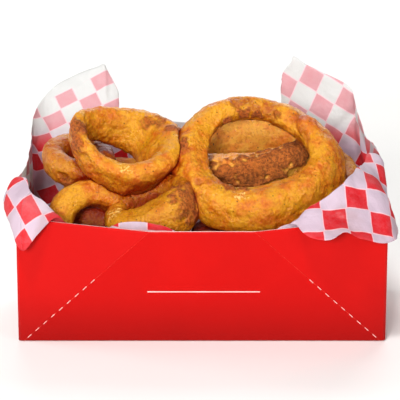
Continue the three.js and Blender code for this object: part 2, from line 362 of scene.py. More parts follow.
@dataclass(frozen=True)
class FriedBatter:
    """Fried batter: golden, mottled, browner where it is crumbly, with pepper in it and a little oil."""

    name: str = "fried_batter"
    gold: Colour = srgb("#d18f15")
    amber: Colour = srgb("#c4610a")
    light: Colour = srgb("#dba32c")
    # brown of toasted batter, used as well for painted shade
    toast: Colour = srgb("#8f3104")
    crust: Colour = srgb("#bf6224")
    char: Colour = srgb("#6f2a0b")
    pale: Colour = srgb("#efc878")
    shaded: Colour = srgb("#c4581a")
    pepper: Colour = srgb("#2c1208")
    peppering: float = 0.5
    toasting: float = 0.35
    offset: Triple = (0.0, 0.0, 0.0)

    def make(self) -> bpy.types.Material:
        """Makes the material.

        Returns:
            The material. Attributes on the mesh say where the batter is crumbly ("crust"), torn ("pale"),
            toasted and in painted shade ("hollow"), and in painted shade deep between the rings
            ("sheltered").
        """
        n = Nodes(self.name)
        place = n.place(self.offset)
        mottle = n.noise(place, 130, 4, 0.6, 0.2)
        grit = n.noise(place, 1700, 3, 0.65)
        sand = n.noise(place, 560, 4, 0.75)
        bubble = n.signal("TexVoronoi", {"Vector": place, "Scale": 640.0, "Randomness": 1.0}, "Distance",
                          feature="SMOOTH_F1")
        skin = n.noise(place, 780, 4, 0.62) * 1.1 + grit * 0.3 - bubble * 0.55
        at_crust = n.attribute("crust")
        crusty = (at_crust + (mottle - 0.5) * 1.2).step(0.1, 0.85) * at_crust.step(0.02, 0.3)
        base = self._fried(n, n.noise(place, 32), mottle, skin)
        base = n.blend(crusty * 0.9, base, self._crumb(n, sand, mottle))
        at_pale = n.attribute("pale")
        torn = (at_pale + (skin - 0.45) * 2.2).step(0.45, 0.8) * at_pale.step(0.02, 0.2)
        base = n.blend(torn * 0.75, base, self.pale)
        # painted shade: darker and redder deep between the rings
        base = n.blend(n.attribute("sheltered"), base, self.shaded, "MULTIPLY")
        base = n.blend(self._specks(n, place, grit) * 0.85, base, self.pepper)
        rough = n.noise(place, 110, 4).step(0.35, 0.7, 0.26, 0.46) + crusty * 0.4
        height = skin * 0.5 + mottle * 0.28 + sand * (crusty * 1.7)
        normal = n.bump(height, 0.0013, 1.0, n.bump(grit, 0.0002, 0.5))
        flesh = {"Normal": normal, "Subsurface Weight": 0.05, "Subsurface Radius": (1.0, 0.5, 0.2),
                 "Subsurface Scale": 0.0012}
        return n.done(n.principled(base, rough, 0.3, flesh))

    def _fried(self, n: Nodes, broad: Signal, mottle: Signal, skin: Signal) -> Signal:
        """The smooth batter's colour: gold to amber, lighter on bubbles, browner in pits, and browner
        still where the mask adds its toasting and painted shade to the random toasting.
        """
        base = n.blend((broad * 0.45 + mottle * 0.55).step(0.4, 0.64), self.gold, self.amber)
        base = n.blend(skin.step(0.5, 0.75) * 0.4, base, self.light)
        base = n.blend(skin.step(0.44, 0.24) * 0.35, base, self.toast)
        toast_and_shade_share = (broad * 0.5 + mottle * 0.5).step(0.56, 0.74) * self.toasting
        # the mask adds its toasting and painted shade to the random toasting
        toast_and_shade_share = n.maths("MINIMUM", toast_and_shade_share + n.attribute("hollow") * 0.7, 1.0)
        return n.blend(toast_and_shade_share * skin.step(0.75, 0.35, 0.6, 1.0), base, self.toast)

    def _crumb(self, n: Nodes, sand: Signal, mottle: Signal) -> Signal:
        """The crumbs' colour: brown, charred between the grains, amber in places."""
        crumb = n.blend(sand.step(0.56, 0.43, 0.0, 0.85), self.crust, self.char)
        return n.blend(mottle.step(0.5, 0.7) * 0.5, crumb, self.amber)

    def _specks(self, n: Nodes, place: Signal, grit: Signal) -> Signal:
        """Where pepper shows: in some cells of a fine pattern, as a ragged speck."""
        grains = n.add("TexVoronoi", {"Vector": place, "Scale": 420.0, "Randomness": 1.0})
        pick = n.signal("SeparateColor", {0: Signal(n, grains.outputs["Color"])})
        chosen = n.maths("GREATER_THAN", pick, 1 - 0.3 * self.peppering)
        return chosen * (Signal(n, grains.outputs["Distance"]) + grit * 0.25).step(0.38, 0.24)


@dataclass(frozen=True)
class PaleFloor:
    """The plain pale ground that the carton stands on."""

    colour: Colour = srgb("#f7f5f2")
    worn: Colour = srgb("#fbfaf8")

    def make(self) -> bpy.types.Material:
        """Makes the material."""
        n = Nodes("pale_floor")
        return n.done(n.principled(n.blend(n.noise(n.place(), 6), self.colour, self.worn), 0.9, 0.1))


# ---------------------------------------------------------------- carton

class Wall(Enum):
    """The carton's walls, in the order that the rim is walked."""

    FRONT = 0
    RIGHT = 1
    BACK = 2
    LEFT = 3


class Column(NamedTuple):
    """A column up the carton: its stretch of the loop, the share of it, and millimetres past that."""

    stretch: int
    share: float
    past: float


@dataclass
class Carton:
    """The folded carton: upright corners, and long panels that lean out between two creases.

    Seen from above its wall is a loop of twenty points, seven on a long wall and three on a short one.
    `creases` and `corners` are the numbers of the points where it is creased and turns a corner. The
    steps are the faces in each stretch, and `beside_crease` how far from a crease its closer columns are.
    """

    length: float = 225
    depth: float = 124
    wall: float = 78
    board: float = 0.6
    corner: float = 1.5
    crease_start: float = 3.5
    lean: dict[Wall, float] = field(default_factory=lambda: {Wall.FRONT: 18, Wall.BACK: 12})
    corner_lean: float = 3
    turn_share: float = 0.06
    creases: tuple[int, ...] = (1, 5, 11, 15)
    corners: tuple[int, ...] = (6, 9, 16, 19)
    long_steps: tuple[int, ...] = (22, 16, 14, 14, 16, 22, 3)
    short_steps: tuple[int, ...] = (26, 26, 3)
    beside_crease: tuple[float, ...] = (0.45, 0.95)
    rows: int = 52
    groove: float = 0.26
    corner_crack: float = 0.35
    foot_crack: float = 0.5
    sharp_angle: float = 7
    mark_size: Triple = (3.3, 0.42, 0.34)
    mark_bevel: float = 0.28
    mark_start: float = 5.0
    mark_pitch: float = 7.0
    marks: int = 9
    rule_at: tuple[float, float] = (1.0, 35.6)
    rule_size: Triple = (68, 0.7, 0.1)

    def long_run(self, inset: float, s: float, wall: Wall, side: int) -> list[Vector]:
        """One long wall's points at slant height s, left to right seen along +Y.

        Args:
            inset: How far inside the board's outer face.
            s: Height up the slant.
            wall: FRONT or BACK.
            side: -1 in front, 1 behind.

        Returns:
            Corner, crease, three points of the panel, crease and corner.
        """
        lean, stand = math.radians(self.lean[wall]), math.radians(self.corner_lean)
        y = self.depth / 2 - inset
        panel = Vector((0, side * (y + s * math.sin(lean)), s * math.cos(lean)))
        corner = Vector((0, side * (y + s * math.sin(stand)), s * math.cos(stand)))
        crease = Vector((self.length / 2 - self.crease_start - s, 0, 0))
        edge = Vector((self.length / 2 - inset - self.corner, 0, 0))
        middle = [panel + crease * share for share in (-1, -0.5, 0, 0.5, 1)]
        return [corner - edge, *middle, corner + edge]

    def walls(self, inset: float, s: float) -> list[list[Vector]]:
        """The four walls' points at slant height s, each left to right seen from outside."""
        stand = math.radians(self.corner_lean)
        x = self.length / 2 - inset
        y = self.depth / 2 - inset - self.corner + s * math.sin(stand)
        up = s * math.cos(stand)
        right = [Vector((x, y * share, up)) for share in (-1, 0, 1)]
        left = [Vector((-x, -y * share, up)) for share in (-1, 0, 1)]
        back = self.long_run(inset, s, Wall.BACK, 1)[::-1]
        return [self.long_run(inset, s, Wall.FRONT, -1), right, back, left]

    def wall_at(self, station: float, inset: float, height: float | None = None) -> Vector:
        """The point of the wall at a station from 0 to 4.

        Args:
            station: 0 to 1 is the front wall, 1 to 2 the right, 2 to 3 the back, 3 to 4 the left.
            inset: How far inside the board's outer face.
            height: Height up the slant, or none for the rim.

        Returns:
            The point.
        """
        wall = int(station) % 4
        run = self.walls(inset, self.wall if height is None else height)[wall]
        axis = 1 if wall % 2 else 0
        start, end = run[0][axis], run[-1][axis]
        target = mix(start, end, station - int(station))
        k = 0
        while k < len(run) - 2 and (target - run[k + 1][axis]) * (end - start) > 0:
            k += 1
        step = (target - run[k][axis]) / (run[k + 1][axis] - run[k][axis])
        return run[k].lerp(run[k + 1], step)

    def outward_at(self, station: float) -> Vector:
        """The level way out at a station, turned gradually round each corner."""
        share = station - int(station)
        near_start = max(0.0, 1 - share / self.turn_share)
        near_end = max(0.0, 1 - (1 - share) / self.turn_share)
        angle = math.radians(90 * (int(station) - 1) + 45 * (near_end - near_start))
        return Vector((math.cos(angle), math.sin(angle), 0))

    def panel_frame(self, wall: Wall, s: float) -> tuple[Vector, Vector]:
        """The panel's point at its middle at slant height s, and its way out."""
        side = -1 if wall is Wall.FRONT else 1
        lean = math.radians(self.lean[wall])
        point = Vector((0, side * (self.depth / 2 + s * math.sin(lean)), s * math.cos(lean)))
        return point, Vector((0, side * math.cos(lean), -math.sin(lean)))

    def _columns(self) -> list[Column]:
        """The columns round the carton, with closer ones beside each crease."""
        columns: list[Column] = []
        for stretch, steps in enumerate((*self.long_steps, *self.short_steps) * 2):
            columns += [Column(stretch, i / steps, 0.0) for i in range(steps)]
            if stretch in self.creases:
                columns += [Column(stretch, 0.0, past) for past in self.beside_crease]
            elif stretch + 1 in self.creases:
                columns += [Column(stretch, 1.0, -past) for past in self.beside_crease]
        return sorted(columns)

    def _loop_point(self, column: Column, s: float) -> tuple[Vector, float]:
        """A column's point at slant height s, and how near it is to a crease, from 0 to 1."""
        loop = [point for run in self.walls(0, s) for point in run]
        start, end = loop[column.stretch], loop[(column.stretch + 1) % len(loop)]
        length = (end - start).length
        along = column.share * length + column.past * min(1.0, length / self.long_steps[0])
        near = 0.0
        if column.stretch in self.creases:
            near = max(0.0, 1 - abs(along))
        elif column.stretch + 1 in self.creases:
            near = max(0.0, 1 - abs(along - length))
        along = min(length, max(0.0, along))
        return start.lerp(end, along / length if length else 0.0), near

    def _walls_mesh(self) -> bmesh.types.BMesh:
        """The bent grid of the walls, whose "fold" attribute says how cracked the coat is."""
        columns = self._columns()
        near: dict[tuple[int, int], float] = {}

        def place(column: int, row: int) -> Vector:
            """Where a corner of the grid goes on the walls."""
            at = column % len(columns)
            point, near[at, row] = self._loop_point(columns[at], self.wall * (row / self.rows))
            return point

        bm = grid_mesh(len(columns), self.rows, place)
        fold = bm.verts.layers.float.new("fold")
        column_layer, row_layer = bm.verts.layers.int["column"], bm.verts.layers.int["row"]
        for vert in bm.verts:
            at, row = vert[column_layer] % len(columns), vert[row_layer]
            at_corner = self.corner_crack if columns[at].stretch in self.corners else 0.0
            vert[fold] = max(near[at, row], at_corner, 0.0 if row else self.foot_crack)
        bmesh.ops.remove_doubles(bm, verts=bm.verts, dist=0.001)
        bm.normal_update()
        return bm

    def _press_board(self, bm: bmesh.types.BMesh) -> None:
        """Presses the creases in and bows the panels a little, less towards the foot."""
        fold = bm.verts.layers.float["fold"]
        for vert in bm.verts:
            if vert[fold] > 0.9 and 1 < vert.co.z < self.wall:
                vert.co -= vert.normal * self.groove
            bow = noise.noise(vert.co * 0.018) * 0.5
            bow += noise.noise(vert.co * 0.05 + Vector((9, 0, 0))) * 0.15
            vert.co -= vert.normal * max(0.0, bow) * smooth(0, 10, vert.co.z)

    def build(self) -> bpy.types.Object:
        """Builds the carton: walls from a bent grid, a floor, and the board's thickness.

        Returns:
            The piece, which stands for the tray's node.
        """
        bm = self._walls_mesh()
        foot = [e for e in bm.edges if e.is_boundary and max(v.co.z for v in e.verts) < 0.5]
        bmesh.ops.contextual_create(bm, geom=foot)
        bmesh.ops.recalc_face_normals(bm, faces=bm.faces)
        if min(bm.faces, key=lambda f: f.calc_center_median().z).normal.z > 0:
            bmesh.ops.reverse_faces(bm, faces=bm.faces)
        bm.normal_update()
        self._press_board(bm)
        piece = finish_mesh(bm, "folded_carton", [CoatedBoard().make(), RawBoard().make()])
        piece.data.shade_smooth()
        piece.data.set_sharp_from_angle(angle=math.radians(self.sharp_angle))
        shell = piece.modifiers.new("board", "SOLIDIFY")
        shell.thickness = self.board * MM
        shell.offset = -1
        shell.use_even_offset = True
        shell.material_offset = 1
        shell.material_offset_rim = 1
        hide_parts("tray")
        return piece

    @staticmethod
    def _sliver(bm: bmesh.types.BMesh, middle: Vector, along: Vector, out: Vector,
                size: Triple) -> list[bmesh.types.BMVert]:
        """Adds a flat block whose length lies along one way and whose face looks out.

        Args:
            bm: The mesh that it is added to.
            middle: Its middle.
            along: The way of its length.
            out: The way that its face looks.
            size: Its length, width and thickness.

        Returns:
            Its corners.
        """
        turn = Matrix((along, out.cross(along), out)).transposed().to_4x4()
        matrix = Matrix.Translation(middle) @ turn @ Matrix.Diagonal((*size, 1))
        return bmesh.ops.create_cube(bm, size=1, matrix=matrix)["verts"]

    def _finish_slivers(self, bm: bmesh.types.BMesh, name: str, board: RawBoard) -> bpy.types.Object:
        """Finishes the slivers of a mesh as one piece of board."""
        bmesh.ops.recalc_face_normals(bm, faces=bm.faces)
        piece = finish_mesh(bm, name, [board.make()], smooth_faces=False)
        return piece

    def build_marks(self) -> bpy.types.Object:
        """Builds the pricked marks up the four creases' lower parts, as bevelled slivers of bare board.

        Returns:
            The piece.
        """
        bm = bmesh.new()
        for wall, side in ((Wall.FRONT, -1), (Wall.BACK, 1)):
            lean = math.radians((self.lean[wall] + self.corner_lean) / 2)
            out = Vector((0, side * math.cos(lean), -math.sin(lean)))
            up = Vector((0, side * math.sin(lean), math.cos(lean)))
            for end in (-1, 1):
                along = (Vector((-end, 0, 0)) + up).normalized()
                for i in range(self.marks):
                    s = (self.mark_start + i * self.mark_pitch) / math.sqrt(2)
                    middle, _ = self.panel_frame(wall, s)
                    middle.x = end * (self.length / 2 - self.crease_start - s)
                    corners = self._sliver(bm, middle, along, out, self.mark_size)
                    edges = {edge for vert in corners for edge in vert.link_edges}
                    upright = [edge for edge in edges
                               if abs((edge.verts[0].co - edge.verts[1].co).normalized().dot(out)) > 0.9]
                    bmesh.ops.bevel(bm, geom=upright, offset=self.mark_bevel, segments=3, profile=0.5,
                                    affect="EDGES", material=-1)
        pricked = RawBoard("pricked_board", srgb("#f6bdb6"), srgb("#eda9a2"))
        return self._finish_slivers(bm, "crease_marks", pricked)

    def build_rule(self) -> bpy.types.Object:
        """Builds the thin plain rule printed across the middle of the front panel.

        Returns:
            The piece.
        """
        x, s = self.rule_at
        middle, out = self.panel_frame(Wall.FRONT, s)
        middle.x = x
        bm = bmesh.new()
        self._sliver(bm, middle, Vector((1, 0, 0)), out, self.rule_size)
        printed = RawBoard("rule_white", srgb("#f9c9c4"), srgb("#f4b6b0"))
        return self._finish_slivers(bm, "printed_rule", printed)


# ---------------------------------------------------------------- paper

@dataclass(frozen=True)
class Knot:
    """Where the sheet leaves the carton at one station of the rim.

    A standing stretch rises above the rim by `rise` and leans out by `out`, or ends at `tip`. A folded
    stretch has its crest at `crest`, passes through `rest` and hangs down to its free edge at `tip`. A
    standing stretch may also pass through a `rest`.
    """

    at: float
    crest: Triple | None = None
    rest: Triple | None = None
    tip: Triple | None = None
    rise: float = 0
    out: float = 0


@dataclass(frozen=True)
class Crease:
    """A ridge, or a valley where `height` is negative, pressed into the sheet along a line."""

    start: Triple
    end: Triple
    width: float
    height: float

    def shift(self, point: Vector) -> float:
        """How far the sheet stands out at a point."""
        start, end = Vector(self.start), Vector(self.end)
        line = end - start
        share = min(1.0, max(0.0, (point - start).dot(line) / line.length_squared))
        away = (point - start - line * share).length
        return self.height * max(0.0, 1 - away / self.width)


@dataclass(frozen=True)
class Patch:
    """How the printed cells lie over one stretch of the rim, from station `start` to station `end`.

    `origin` is a corner where four cells meet, and `across` and `up` are the steps to the next corners.
    """

    start: float
    end: float
    origin: Triple
    across: Triple
    up: Triple

    def count(self, point: Vector) -> Vector:
        """The cells from the origin to the point of the cells' plane that is nearest to a point."""
        step = point - Vector(self.origin)
        a, b = Vector(self.across), Vector(self.up)
        aa, ab, bb = a.dot(a), a.dot(b), b.dot(b)
        scale = aa * bb - ab * ab
        return Vector((step.dot(a) * bb - step.dot(b) * ab, step.dot(b) * aa - step.dot(a) * ab)) / scale


@dataclass
class PaperLiner:
    """The sheet of deli paper that lines the carton, stands in peaks and folds over the rim.

    `clear` is the room between it and the wall, and `tuck` how far below the rim it starts to stand
    free. `seam` is half the width over which two patches of print blend. The pairs called glow are the
    heights between which light begins to come through, on the low strips and on the peaks.
    """

    carton: Carton
    thick: float = 0.5
    clear: float = 1.5
    foot: float = 4
    foot_round: float = 8
    tuck: float = 8
    column_step: float = 1.75
    floor_rows: int = 4
    low_rows: int = 12
    free_rows: int = 44
    knots: tuple[Knot, ...] = (
        Knot(0.0, (-103, -62, 93), (-108.5, -70, 84), (-107, -80, 61)),
        Knot(0.05, (-94.5, -66, 88), (-98, -72, 82), (-98, -78, 71)),
        Knot(0.113, (-87, -68, 80), (-87, -70, 81.5), (-87, -71.5, 79.5)),
        Knot(0.14, rise=-2, out=-1),
        Knot(0.23, rise=-2, out=-1),
        Knot(0.28, rise=3.5, out=0),
        Knot(0.39, rise=3.5, out=0),
        Knot(0.46, rise=-3, out=-1),
        Knot(0.68, rise=-3, out=-1),
        Knot(0.72, rise=1, out=-1),
        Knot(0.745, (55, -77.5, 77.5), (55, -78.5, 79), (55, -80, 77.5)),
        Knot(0.8, (62, -75, 85.5), (62, -81, 81.5), (62, -91, 73)),
        Knot(0.87, (73.5, -71, 91.5), (75, -77, 84.5), (76, -95, 71)),
        Knot(0.92, (80, -68, 96), (82.5, -76, 86), (84.5, -91, 75)),
        Knot(0.96, (85.5, -64, 100), (90.5, -73, 88), (95, -92, 71)),
        Knot(1.0, (90, -57, 103), (98, -68, 89), (104, -89, 68)),
        Knot(1.04, (93, -50, 104.5), (105, -65, 90), (112.5, -84, 67.5)),
        Knot(1.08, (96, -42, 105), (110, -58, 91), (118, -71, 69)),
        Knot(1.2, (100.5, -25, 104), (110.5, -37, 94), (115, -46, 79)),
        Knot(1.36, (104, -8, 106), (111.5, -12, 105), (113.5, -16, 96)),
        Knot(1.56, rise=30, out=0),
        Knot(1.78, rise=31, out=-4),
        Knot(1.95, rest=(102.5, 56, 104), tip=(100.5, 58, 127)),
        Knot(2.03, rest=(100, 62, 108), tip=(98, 63, 136)),
        Knot(2.12, tip=(80, 66, 146)),
        Knot(2.19, tip=(68.3, 66.5, 151.5)),
        Knot(2.225, tip=(60.2, 67, 156.6)),
        Knot(2.235, tip=(58.8, 67.2, 153)),
        Knot(2.26, tip=(53, 68, 144)),
        Knot(2.28, tip=(55, 69, 129)),
        Knot(2.34, rise=36, out=1),
        Knot(2.66, rise=36, out=2),
        Knot(2.715, rest=(-53, 67, 98), tip=(-55, 71, 117)),
        Knot(2.74, rest=(-54, 66, 105), tip=(-55, 71, 131)),
        Knot(2.767, rest=(-61, 65.6, 112.5), tip=(-63, 75.3, 146)),
        Knot(2.775, rest=(-62.5, 65.5, 114), tip=(-65, 76, 150)),
        Knot(2.79, rest=(-66, 65.4, 113.8), tip=(-69, 77, 148.2)),
        Knot(2.87, rest=(-82, 64.5, 112), tip=(-83, 79, 143)),
        Knot(2.925, rest=(-92, 64.2, 110), tip=(-93.5, 77, 138.2)),
        Knot(2.965, rest=(-99.5, 63.3, 106), tip=(-100.5, 73.5, 133)),
        Knot(3.06, rest=(-109, 54, 98), tip=(-109.5, 60, 122)),
        Knot(3.2, rise=25, out=1),
        Knot(3.6, rise=20, out=1),
        Knot(3.76, (-109, -36, 97), (-117, -38, 95.5), (-122, -40, 84)),
        Knot(3.9, (-106, -48, 97), (-115, -55, 89), (-116.5, -64, 75)),
    )
    creases: tuple[Crease, ...] = (
        Crease((-111, 28, 104), (-108, 12, 74), 7, 4),
        Crease((-111, 4, 104), (-108, -6, 74), 6, 3.5),
        Crease((-110, -20, 100), (-107, -24, 74), 6, 4),
        Crease((-108, 52, 118), (-106, 40, 80), 6, 3),
        Crease((106, 50, 112), (107, 36, 84), 7, 2.5),
        Crease((108, 20, 112), (107, 14, 78), 6, 3.5),
        Crease((109, -4, 108), (107, -6, 78), 6, -3),
        Crease((100, 60, 120), (82, 66, 100), 5, 2.5),
    )
    patches: tuple[Patch, ...] = (
        Patch(3.68, 0.13, (-116.8, -78.4, 67.8), (10.8, 2.9, 7.1), (-7.4, 10.1, 10.6)),
        Patch(0.13, 0.74, (-49, -75, 76), (16, 0, 0), (0, -4, 14)),
        Patch(0.74, 1.38, (58.8, -92.9, 79.4), (13.9, 2.9, -2.5), (-0.8, 11.8, 11.1)),
        Patch(1.38, 1.9, (108, -14, 92), (-2, 14, 1), (1, -3, 13)),
        Patch(1.9, 2.3, (51.8, 68.3, 147.5), (12.0, -0.9, -7.5), (5.3, -0.9, 12.2)),
        Patch(2.3, 2.7, (-22, 74, 104), (14, 0, 0), (0, 2, 13)),
        Patch(2.7, 3.15, (-105.2, 66.2, 115.2), (11.7, 1.2, 5.8), (-4.5, 3.5, 8.2)),
        Patch(3.15, 3.68, (-111, 10, 90), (1, 14, 1), (0, 0, 14)),
    )
    seam: float = 0.03
    seam_height: float = 15
    margin_span: tuple[float, float] = (2.7, 3.12)
    margin_patch: int = 6
    front_end: float = 0.74
    left_span: tuple[float, float] = (3.2, 3.68)
    right_fold: tuple[float, float] = (1.5, 1.36)
    left_fold: tuple[float, float] = (3.68, 3.76)
    strip_glow: tuple[float, float] = (68, 84)
    peak_glow: tuple[float, float] = (94, 116)
    grease_top: tuple[float, float] = (105, 72)
    grease: float = 0.35
    sheet: float = 0.12

    def _knot_points(self, knot: Knot) -> list[Vector]:
        """Where the sheet turns, the middle of its free stretch and its edge, at one knot."""
        inset = self.carton.board + self.clear
        rim = self.carton.wall_at(knot.at, inset)
        if knot.crest:
            return [Vector(knot.crest), Vector(knot.rest), Vector(knot.tip)]
        turn = self.carton.wall_at(knot.at, inset + self.thick, self.carton.wall - self.tuck)
        out = self.carton.outward_at(knot.at)
        edge = Vector(knot.tip) if knot.tip else rim + out * knot.out + Vector((0, 0, knot.rise))
        middle = Vector(knot.rest) if knot.rest else turn.lerp(edge, 0.5)
        return [turn, middle, edge]

    @staticmethod
    def _curve(near: Sequence[Vector], t: float) -> Vector:
        """A point a share t between the middle two of four points, on a centripetal spline."""
        gaps = [max(1e-4, (near[i + 1] - near[i]).length ** 0.5) for i in range(3)]
        slopes = []
        for i in (1, 2):
            a, b = gaps[i - 1], gaps[i]
            slope = ((near[i] - near[i - 1]) / a - (near[i + 1] - near[i - 1]) / (a + b)
                     + (near[i + 1] - near[i]) / b)
            slopes.append(slope * gaps[1])
        t2, t3 = t * t, t * t * t
        return (near[1] * (2 * t3 - 3 * t2 + 1) + slopes[0] * (t3 - 2 * t2 + t)
                + near[2] * (3 * t2 - 2 * t3) + slopes[1] * (t3 - t2))

    def _columns(self) -> list[tuple[float, list[Vector]]]:
        """The sheet's columns going round the rim: each one's station and its three points."""
        points = [self._knot_points(knot) for knot in self.knots]
        count = len(points)
        columns: list[tuple[float, list[Vector]]] = []
        for k, knot in enumerate(self.knots):
            span = (self.knots[(k + 1) % count].at - knot.at) % 4
            length = max((a - b).length for a, b in zip(points[k], points[(k + 1) % count]))
            steps = max(3, math.ceil(length / self.column_step))
            near = [[points[(k + j) % count][row] for j in (-1, 0, 1, 2)] for row in range(3)]
            for i in range(steps):
                column = [self._curve(four, i / steps) for four in near]
                columns.append(((knot.at + span * i / steps) % 4, column))
        return columns

    def _foot_at(self, station: float) -> Vector:
        """The sheet's foot on the carton's floor, on a rounded rectangle."""
        wall = self.carton.wall_at(station, 0, 0)
        inset = self.foot + self.thick
        half = Vector((self.carton.length / 2 - inset, self.carton.depth / 2 - inset))
        core = half - Vector((self.foot_round, self.foot_round))
        flat = Vector((min(half.x, max(-half.x, wall.x)), min(half.y, max(-half.y, wall.y))))
        centre = Vector((min(core.x, max(-core.x, flat.x)), min(core.y, max(-core.y, flat.y))))
        reach = flat - centre
        if reach.length > self.foot_round:
            reach *= self.foot_round / reach.length
        return Vector((*(centre + reach), self.carton.board + GAP + self.thick))

    def _free_share(self, row: int) -> float:
        """How far along the free stretch a row is, from 0 where the sheet leaves the wall to 1."""
        return (row - self.floor_rows - self.low_rows) / self.free_rows

    def _row_place(self, column: tuple[float, list[Vector]], foot: Vector, row: int) -> Vector:
        """Where one row of a column lies: over the floor, up the wall, then along the free stretch."""
        turn, middle, edge = column[1]
        if row < self.floor_rows:
            share = row / self.floor_rows
            return Vector((foot.x * share, foot.y * share, foot.z))
        if row < self.floor_rows + self.low_rows:
            return foot.lerp(turn, (row - self.floor_rows) / self.low_rows)
        t = self._free_share(row)
        return turn * (2 * (t - 0.5) * (t - 1)) + middle * (4 * t * (1 - t)) + edge * (2 * t * (t - 0.5))

    def _cells(self, station: float, point: Vector, joined: Sequence[tuple[Patch, Vector]]) -> Vector:
        """The printed cells' count at a point, blended across the seam between two patches.

        Args:
            station: The point's station round the rim.
            point: The point.
            joined: The patches and their shifts.

        Returns:
            The cells across and up.
        """
        total, weight_sum = Vector((0, 0)), 0.0
        for patch, shift in joined:
            half = (patch.end - patch.start) % 4 / 2
            away = abs((station - patch.start - half + 2) % 4 - 2)
            weight = smooth(half + self.seam, half - self.seam, away)
            if weight > 0:
                total += (patch.count(point) + shift) * weight
                weight_sum += weight
        return total / max(weight_sum, 1e-6)

    def _joined_patches(self) -> list[tuple[Patch, Vector]]:
        """Each patch, with the whole cells that bring its count nearest to the one before."""
        joined = [(self.patches[0], Vector((0, 0)))]
        for patch in self.patches[1:]:
            before, shift = joined[-1]
            seam = self.carton.wall_at(patch.start, self.clear) + Vector((0, 0, self.seam_height))
            step = before.count(seam) + shift - patch.count(seam)
            whole = Vector((round(step.x), round(step.y)))
            if (whole.x + whole.y) % 2:
                whole.x += 1 if step.x > whole.x else -1
            joined.append((patch, whole))
        return joined

    def build(self) -> bpy.types.Object:
        """Builds the sheet from one grid, crumples it and counts its printed cells.

        Returns:
            The piece, which stands for the paper liner's node.
        """
        columns = self._columns()
        feet = [self._foot_at(station) for station, _ in columns]

        def place(column: int, row: int) -> Vector:
            """Where a corner of the grid goes on the sheet."""
            at = column % len(columns)
            return self._row_place(columns[at], feet[at], row)

        bm = grid_mesh(len(columns), self.floor_rows + self.low_rows + self.free_rows, place)
        self._mark_sheet(bm, [station for station, _ in columns])
        bm.normal_update()
        row_layer = bm.verts.layers.int["row"]
        moved = {vert: self._crumple(vert.co, vert.normal, vert[row_layer]) for vert in bm.verts}
        for vert, point in moved.items():
            vert.co = point
        bmesh.ops.remove_doubles(bm, verts=bm.verts, dist=0.001)
        piece = finish_mesh(bm, "deli_paper_sheet", [DeliPaper().make()])
        sheet = piece.modifiers.new("sheet", "SOLIDIFY")
        sheet.thickness = self.sheet * MM
        sheet.offset = 1
        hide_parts("paper_liner")
        return piece

    def _mark_sheet(self, bm: bmesh.types.BMesh, stations: Sequence[float]) -> None:
        """Sets the sheet's printed cells, and where it is greasy, lit from behind and unprinted.

        Args:
            bm: The smooth sheet's grid.
            stations: Each column's station round the rim.
        """
        grease, glow, margin = (bm.verts.layers.float.new(name) for name in ("grease", "glow", "margin"))
        uv_layer = bm.loops.layers.uv.new("checks")
        column_layer, row_layer = bm.verts.layers.int["column"], bm.verts.layers.int["row"]
        joined = self._joined_patches()
        margin_shift = joined[self.margin_patch][1].y
        start, end = self.margin_span
        for vert in bm.verts:
            station = stations[vert[column_layer] % len(stations)]
            cells = self._cells(station, vert.co, joined)
            vert[grease] = self.grease * smooth(*self.grease_top, vert.co.z)
            vert[glow] = self._glow(station, vert.co, vert[row_layer])
            vert[margin] = cells.y - margin_shift - 1 if start < station < end else -1.0
            for loop in vert.link_loops:
                loop[uv_layer].uv = cells

    def _glow(self, station: float, point: Vector, row: int) -> float:
        """How much light comes through the sheet at a point.

        Args:
            station: The point's station round the rim.
            point: The point.
            row: Its row from the middle of the floor.

        Returns:
            0 where the sheet is backed, to 1 where it stands clear.
        """
        free = self._free_share(row)
        if station < 2:
            folded = smooth(*self.right_fold, station)
            kept = 0.2 * smooth(0.9, 0.2, free)
        else:
            folded = smooth(*self.left_fold, station)
            kept = 0.75 * smooth(0.6, 0.45, free)
        low = station < self.front_end or self.left_span[0] < station < self.left_span[1]
        return smooth(*(self.strip_glow if low else self.peak_glow), point.z) * mix(1.0, kept, folded)

    def _crumple(self, point: Vector, normal: Vector, row: int) -> Vector:
        """A point of the sheet moved by its creases and its crumpling.

        Args:
            point: The point on the smooth sheet.
            normal: The sheet's way out there.
            row: Its row from the middle of the floor.

        Returns:
            The moved point.
        """
        share = smooth(self.floor_rows + self.low_rows * 0.4, self.floor_rows + self.low_rows, row)
        ridges = 1 - abs(noise.noise(point * 0.045 + Vector((3, 7, 1)))) * 2
        folds = 1 - abs(noise.noise(point * 0.095 + Vector((8, 2, 5)))) * 2
        small = noise.noise(point * 0.2)
        shift = share * (ridges * 0.8 + folds * 0.45 + small * 0.2 - 0.7)
        creased = sum(crease.shift(point) for crease in self.creases)
        return point + normal * (shift + smooth(1.0, 0.6, self._free_share(row)) * creased)


# ---------------------------------------------------------------- onion rings

class Look(Enum):
    """What a mark on a ring is."""

    CRUMB = "rough brown crumbs"
    # its dent is also painted darker, as shade
    PIT = "a small hollow"
    PALE = "pale torn batter"
    LUMP = "a smooth lump"
    # browner batter: toasted in some marks, painted shadow in others
    TOAST = "a browner stretch"


@dataclass(frozen=True)
class Mark:
    """A patch of a ring that looks different.

    `at` is its middle, `size` its radius, `depth` how far it stands out, and `amount` how strong it is.
    """

    look: Look
    at: Triple
    size: float
    depth: float = 0.0
    amount: float = 1.0


def marks_of(look: Look, *rows: tuple[float, ...]) -> tuple[Mark, ...]:
    """Marks of one kind.

    Args:
        look: Their kind.
        rows: For each one x, y, z and its size, and then, where they count, its depth and amount.

    Returns:
        The marks.
    """
    return tuple(Mark(look, row[:3], *row[3:]) for row in rows)


@dataclass(frozen=True)
class Bulge:
    """A stretch of a ring whose section is fuller or tipped, fading out over `spread` degrees.

    `toward` is its angle seen from above: 0 is right, 90 behind and -90 in front. `inward`, `outward`,
    `top` and `low` are how far each side of the section moves out, and `tilt` opens the ring upward.
    """

    toward: float
    spread: float = 80
    inward: float = 0
    outward: float = 0
    top: float = 0
    low: float = 0
    tilt: float = 0


